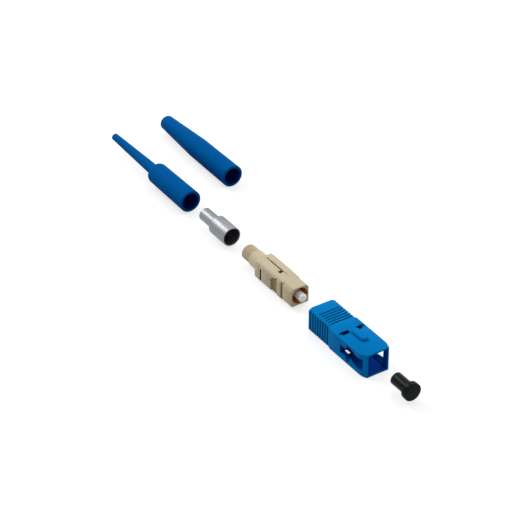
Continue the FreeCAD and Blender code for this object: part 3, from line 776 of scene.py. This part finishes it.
@dataclass
class FerruleSet:
    """Ceramic ferrule in its metal holder, with the guide tube and the spring behind."""

    tip_chamfer_mm: float = 0.35
    tip_rounding_mm: float = 0.1
    chamfer_rounding_mm: float = 0.15
    foot_taper_mm: float = 0.02
    foot_rounding_mm: float = 0.05
    holder_edge_mm: float = 0.05
    wire_radius_mm: float = 0.16
    wire_sides: int = 16
    wire_smooth_deg: float = 50.0
    coil_radius_mm: float = 1.83
    turns: float = 5.0
    press_mm: float = 1.5
    steps_per_turn: int = 40

    def ferrule(self) -> None:
        """Ceramic rod with a domed, chamfered tip."""
        span = RoundSpan("ferrule")
        radius = span.radius_mm
        corners = [
            Corner(-span.length_mm, AXIS_RADIUS_MM),
            Corner(-span.length_mm, radius - self.foot_taper_mm, self.foot_rounding_mm),
            Corner(-self.tip_chamfer_mm, radius, self.chamfer_rounding_mm),
            Corner(0.0, radius - self.tip_chamfer_mm, self.tip_rounding_mm),
            Corner(0.0, AXIS_RADIUS_MM),
        ]
        item = turn_piece("ferrule_rod", corners, span.front(), solid=True)
        finish_piece(item, ZIRCONIA.build(), Body.FERRULE_SET, Slot.CERAMIC, "ferrule")

    def spring(self) -> None:
        """Round wire wound about X by a screw modifier."""
        low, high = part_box("ferrule_spring")
        clear_selection()
        bpy.ops.mesh.primitive_circle_add(
            vertices=self.wire_sides, radius=self.wire_radius_mm * MM, fill_type="NOTHING",
            location=(low.x + self.wire_radius_mm * MM, 0.0, self.coil_radius_mm * MM),
            rotation=(math.pi / 2, 0.0, 0.0))
        item = bpy.context.object
        item.name = item.data.name = "ferrule_spring_wire"
        bpy.ops.object.transform_apply(location=True, rotation=True, scale=True)
        winding = item.modifiers.new("winding", "SCREW")
        winding.axis = "X"
        winding.angle = 2 * math.pi * self.turns
        winding.screw_offset = high.x - low.x - 2 * self.wire_radius_mm * MM
        winding.steps = winding.render_steps = int(self.steps_per_turn * self.turns)
        apply_modifiers(item)
        bpy.ops.object.mode_set(mode="EDIT")
        bpy.ops.mesh.select_mode(type="EDGE")
        bpy.ops.mesh.select_all(action="DESELECT")
        bpy.ops.mesh.select_non_manifold()
        bpy.ops.mesh.fill_holes(sides=self.wire_sides)
        bpy.ops.mesh.select_all(action="SELECT")
        bpy.ops.mesh.normals_make_consistent(inside=False)
        bpy.ops.object.mode_set(mode="OBJECT")
        smooth(item, self.wire_smooth_deg)
        finish_piece(item, SPRING_WIRE.build(), Body.FRAME, Slot.SPRING, "ferrule_spring")
        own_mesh(item)

    def build(self) -> None:
        """Make the rod and the spring, and dress the holder and the tube."""
        self.ferrule()
        self.spring()
        holder = moulded_copy("ferrule_flange", "ferrule_holder", self.holder_edge_mm)
        finish_piece(holder, TURNED_NICKEL.build(), Body.FERRULE_SET, Slot.NICKEL, "ferrule_flange")
        dress_node("guide_tube", MILKY_TUBE.build())


@dataclass
class PlugBody:
    """Beige plug frame and the rear body behind it, with its knurled crimp post.

    The floors are known by their distance from the axis, sideways or upwards, and the mouth's wall by
    lying within mouth_radius_mm. The rear body ends in a collar of collar_mm and then the post.
    """

    edge_mm: float = 0.09
    recess_floor_mm: float = 2.45
    groove_floor_mm: float = 2.6
    slit_floor_mm: float = 2.5
    top_slit_floor_mm: float = 2.35
    mouth_radius_mm: float = 2.6
    collar_mm: float = 3.9
    post_mm: float = 3.9
    post_radius_mm: float = 2.34
    knurl_bore_mm: float = 2.0
    knurl_inset_mm: float = 0.12
    rear_edge_mm: float = 0.04
    tooth_rise_mm: float = 0.07
    tooth_inset_mm: float = 0.06
    tooth_rows: int = 9
    teeth_around: int = 30
    tooth_smooth_deg: float = 25.0
    wall_tolerance_mm: float = 0.05

    def knurl(self, material: bpy.types.Material) -> None:
        """Ring let into the crimp post, its wall raised into rows of knurl teeth.

        Args:
            material: Its finish.
        """
        post_front = self.flange_rear() - Vector((self.collar_mm * MM, 0.0, 0.0))
        start, end = -self.knurl_inset_mm, self.knurl_inset_mm - self.post_mm
        wall = self.post_radius_mm - self.tooth_rise_mm
        rows = [start + (end - start) * row / self.tooth_rows for row in range(self.tooth_rows + 1)]
        corners = [Corner(start, self.knurl_bore_mm), Corner(end, self.knurl_bore_mm)]
        corners += [Corner(row, wall) for row in reversed(rows)]
        item = turn_piece("crimp_post_knurl", corners, post_front, segments=2 * self.teeth_around)
        self.raise_teeth(item, post_front.x + end * MM, post_front.x + start * MM)
        finish_piece(item, material, Body.FRAME, Slot.BEIGE)

    def flange_rear(self) -> Vector:
        """Find the rear face of the rectangular flange.

        Returns:
            Its point on the axis.
        """
        low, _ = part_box("rear_body")
        return Vector((low.x + (self.collar_mm + self.post_mm) * MM, 0.0, 0.0))

    def in_recess(self, face: bpy.types.MeshPolygon) -> bool:
        """Whether a face is the floor of a side recess or groove.

        Args:
            face: A face of the plug frame.

        Returns:
            True if it is.
        """
        depth = abs(face.center.y) / MM
        return looks_sideways(face) and (
            abs(depth - self.recess_floor_mm) < FLOOR_TOLERANCE_MM
            or abs(depth - self.groove_floor_mm) < FLOOR_TOLERANCE_MM)

    def in_slit(self, face: bpy.types.MeshPolygon) -> bool:
        """Whether a face is the floor of a side slit or of the top slit.

        Args:
            face: A face of the plug frame.

        Returns:
            True if it is.
        """
        across, up = abs(face.center.y) / MM, face.center.z / MM
        side = looks_sideways(face) and abs(across - self.slit_floor_mm) < FLOOR_TOLERANCE_MM
        top = face.normal.z > SQUARE_ON and abs(up - self.top_slit_floor_mm) < FLOOR_TOLERANCE_MM
        return side or top

    def in_mouth(self, face: bpy.types.MeshPolygon) -> bool:
        """Whether a face is on the wall of the bore round the ferrule.

        Args:
            face: A face of the plug frame.

        Returns:
            True if it is.
        """
        radius = math.hypot(face.center.y, face.center.z) / MM
        return radius < self.mouth_radius_mm and looks_inward(face)

    def raise_teeth(self, item: bpy.types.Object, start: float, end: float) -> None:
        """Inset and lift each face of the post's wall between two places along X.

        Args:
            item: The knurl's ring.
            start: Rear place in metres.
            end: Front place in metres.
        """
        wall = (self.post_radius_mm - self.tooth_rise_mm) * MM
        take_up(item)
        bpy.ops.object.mode_set(mode="EDIT")
        bpy.ops.mesh.select_mode(type="FACE")
        bpy.ops.mesh.select_all(action="DESELECT")
        bpy.ops.object.mode_set(mode="OBJECT")
        for face in item.data.polygons:
            away = math.hypot(face.center.y, face.center.z)
            face.select = start < face.center.x < end and abs(away - wall) < self.wall_tolerance_mm * MM
        bpy.ops.object.mode_set(mode="EDIT")
        bpy.ops.mesh.inset(thickness=self.tooth_inset_mm * MM, depth=self.tooth_rise_mm * MM,
                           use_individual=True)
        bpy.ops.object.mode_set(mode="OBJECT")
        smooth(item, self.tooth_smooth_deg)

    def build(self) -> None:
        """Make the frame, the rear body and the post's knurl in one beige material, with painted shade on
        the recess, groove and slit floors and painted bounce light and shade in the bore.
        """
        material = BEIGE_PBT.build()
        plug = moulded_copy("plug_frame", "plug_frame_moulding", self.edge_mm)
        finish_piece(plug, material, Body.FRAME, Slot.BEIGE, "plug_frame")
        # Painted shade: the recess and groove floors take a darker brown.
        dress_faces(plug, RECESS_SHADE_BEIGE.build(), self.in_recess)
        # Painted bounce light and shade: the bore's wall takes an orange brown.
        dress_faces(plug, BORE_BOUNCE_SHADE_BEIGE.build(), self.in_mouth)
        shaded = SLIT_BEIGE.build()
        dress_faces(plug, shaded, self.in_slit)
        rear = moulded_copy("rear_body", "rear_body_moulding", self.rear_edge_mm, steps=1)
        finish_piece(rear, material, Body.FRAME, Slot.BEIGE, "rear_body")
        back = self.flange_rear().x + MM
        dress_faces(rear, shaded, lambda face: face.normal.x > SQUARE_ON and face.center.x > back)
        self.knurl(material)


@dataclass
class OuterHousing:
    """Blue push-pull housing with ribs, key, slots and side openings.

    Faces of the inside lie within inner_height_mm of the axis upwards and inner_side_mm sideways, or
    cavity_side_mm above the windows, and less than outward_share of their normal looks outwards. The
    slots through the top are known by where they start and end along X, sideways and in height.
    """

    edge_mm: float = 0.09
    inner_side_mm: float = 4.0
    cavity_side_mm: float = 3.4
    window_top_mm: float = 2.2
    inner_height_mm: float = 3.2
    slots_mm: tuple[float, float] = (13.8, 15.2)
    slot_sides_mm: tuple[float, float] = (1.25, 3.6)
    slot_floor_mm: float = 2.0
    slot_top_mm: float = 3.6
    slot_tolerance_mm: float = 0.05
    outward_share: float = 0.3
    upright_share: float = 0.5

    def build(self) -> None:
        """Soften the CAD form and dress it, the inside and the slot walls in painted shade."""
        item = moulded_copy("outer_housing", "housing_moulding", self.edge_mm)
        finish_piece(item, BLUE_PBT.build(), Body.HOUSING, Slot.BLUE, "outer_housing")
        low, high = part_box("outer_housing")
        # Painted shade: the inside of the housing takes a darker, more violet copy of the blue.
        dress_faces(item, INNER_SHADE_PBT.build(), lambda face: self.inside(face, low.x, high.x))
        # Painted shade: the slot walls take a near-black navy.
        dress_faces(item, SLOT_SHADE_PBT.build(), lambda face: self.in_slot(face, low.x))

    def inside(self, face: bpy.types.MeshPolygon, rear: float, front: float) -> bool:
        """Whether a face lies within the outer walls, looks inwards or along, and is not on an end.

        Args:
            face: A face of the housing.
            rear: Place of the rear end in metres.
            front: Place of the front end in metres.

        Returns:
            True if it is on the inside.
        """
        away = Vector((0.0, face.center.y, face.center.z))
        ends = min(face.center.x - rear, front - face.center.x) / MM
        side = self.inner_side_mm if face.center.z / MM < self.window_top_mm else self.cavity_side_mm
        return (abs(face.center.y) / MM < side and abs(face.center.z) / MM < self.inner_height_mm
                and face.normal.dot(away) < self.outward_share * away.length and ends > self.edge_mm)

    def in_slot(self, face: bpy.types.MeshPolygon, rear: float) -> bool:
        """Whether a face is an upright wall of one of the two slots through the top.

        Args:
            face: A face of the housing.
            rear: Place of the rear end in metres.

        Returns:
            True if it is.
        """
        start, end = self.slots_mm
        inner, outer = self.slot_sides_mm
        spare = self.slot_tolerance_mm
        along, across = (face.center.x - rear) / MM, abs(face.center.y) / MM
        return (start - spare < along < end + spare and inner - spare < across < outer
                and self.slot_floor_mm < face.center.z / MM < self.slot_top_mm
                and abs(face.normal.z) < self.upright_share)


# ---------------------------------------------------------------- stage


@dataclass(frozen=True)
class Viewpoint:
    """Long-lens view from the front, above and to the left of the mating direction."""

    azimuth_deg: float = 56.63
    elevation_deg: float = 34.42
    distance: float = 0.600
    focal_mm: float = 153.9
    sensor_mm: float = 36.0
    aim_from_middle_mm: tuple[float, float, float] = (12.535, -15.1, 8.5)

    def build(self, middle: Vector) -> None:
        """Add the camera and make it the scene's own.

        Args:
            middle: Middle of the object's box, in metres.
        """
        azimuth, elevation = math.radians(self.azimuth_deg), math.radians(self.elevation_deg)
        back = Vector((math.sin(azimuth) * math.cos(elevation),
                       -math.cos(azimuth) * math.cos(elevation), math.sin(elevation)))
        aim = middle + Vector(self.aim_from_middle_mm) * MM
        data = bpy.data.cameras.new("camera")
        data.lens = self.focal_mm
        data.sensor_width = self.sensor_mm
        data.clip_start = 0.01
        data.dof.use_dof = False
        camera = bpy.data.objects.new("camera", data)
        camera.location = aim + back * self.distance
        camera.rotation_euler = (-back).to_track_quat("-Z", "Y").to_euler()
        bpy.context.scene.collection.objects.link(camera)
        bpy.context.scene.camera = camera


@dataclass(frozen=True)
class Softbox:
    name: str
    watts: float
    size: float
    place: tuple[float, float, float]

    def build(self) -> None:
        """Hang the lamp at its place, in metres."""
        data = bpy.data.lights.new(self.name, "AREA")
        data.energy = self.watts
        data.size = self.size
        lamp = bpy.data.objects.new(self.name, data)
        lamp.location = self.place
        lamp.rotation_euler = (-Vector(self.place)).to_track_quat("-Z", "Y").to_euler()
        bpy.context.scene.collection.objects.link(lamp)


@dataclass(frozen=True)
class Studio:
    """White sweep under a broad overhead softbox and one from the left, with an even fill."""

    floor_size: float = 3.0
    floor_gap: float = 0.02 * MM
    floor_colour: str = "#B0B0B0"
    floor_roughness: float = 0.9
    floor_specular: float = 0.1
    floor_lift: float = 0.68
    fill: float = 0.45
    softboxes: tuple[Softbox, ...] = (
        Softbox("overhead", 8.8, 1.4, (-0.3, 0.75, 1.2)),
        Softbox("left", 7.4, 0.6, (-0.95, -0.35, 0.88)),
    )

    def floor(self, height: float) -> None:
        """Large pale floor that shows a little brighter to the camera and in reflections.
        """
        clear_selection()
        bpy.ops.mesh.primitive_plane_add(
            size=self.floor_size, location=(0.0, 0.0, height - self.floor_gap))
        item = bpy.context.object
        item.name = item.data.name = "floor"
        material = bpy.data.materials.new("white_sweep")
        material.use_nodes = True
        tree = material.node_tree
        tree.nodes.clear()
        shader = add_node(tree, "ShaderNodeBsdfPrincipled", {
            "Base Color": linear(self.floor_colour), "Roughness": self.floor_roughness,
            "Specular IOR Level": self.floor_specular, "Emission Color": (1.0, 1.0, 1.0, 1.0),
            "Emission Strength": self.seen(tree, self.floor_lift, 0.0)})
        add_node(tree, "ShaderNodeOutputMaterial", {"Surface": shader.outputs["BSDF"]})
        item.data.materials.append(material)

    @staticmethod
    def seen(tree: bpy.types.NodeTree, shown: float, hidden: float) -> bpy.types.NodeSocket:
        """Value that differs between the rays that are looked along and the rest.

        Args:
            tree: Node tree to add to.
            shown: Value for camera, glossy and transmission rays.
            hidden: Value for all others.

        Returns:
            The socket that carries it.
        """
        path = add_node(tree, "ShaderNodeLightPath")
        first = add_node(tree, "ShaderNodeMath", operation="MAXIMUM")
        tree.links.new(path.outputs["Is Camera Ray"], first.inputs[0])
        tree.links.new(path.outputs["Is Glossy Ray"], first.inputs[1])
        both = add_node(tree, "ShaderNodeMath", operation="MAXIMUM")
        tree.links.new(first.outputs[0], both.inputs[0])
        tree.links.new(path.outputs["Is Transmission Ray"], both.inputs[1])
        span = add_node(tree, "ShaderNodeMapRange", {
            "Value": both.outputs[0], "To Min": hidden, "To Max": shown})
        return span.outputs["Result"]

    def world(self) -> None:
        """Even grey fill that camera, glossy and transmission rays see as white."""
        world = bpy.data.worlds.new("studio")
        world.use_nodes = True
        tree = world.node_tree
        tree.nodes.clear()
        sky = add_node(tree, "ShaderNodeBackground", {
            "Color": (1.0, 1.0, 1.0, 1.0), "Strength": self.seen(tree, 1.0, self.fill)})
        add_node(tree, "ShaderNodeOutputWorld", {"Surface": sky.outputs["Background"]})
        bpy.context.scene.world = world

    def build(self, height: float) -> None:
        """Set up the floor, the world and the lamps.
        """
        self.floor(height)
        self.world()
        for softbox in self.softboxes:
            softbox.build()
        bpy.context.scene.view_settings.view_transform = "Standard"


def main() -> None:
    """Build every sub-assembly in order, then the stage and the camera."""
    logging.basicConfig(level=logging.INFO, format="%(message)s")
    low, high = cad_box
    for part in (Boots(), CrimpSleeve(), FerruleSet(), PlugBody(), OuterHousing(), DustCap()):
        part.build()
    Viewpoint().build((Vector(low) + Vector(high)) / 2)
    Studio().build(low[2])


if __name__ == "__main__":
    main()
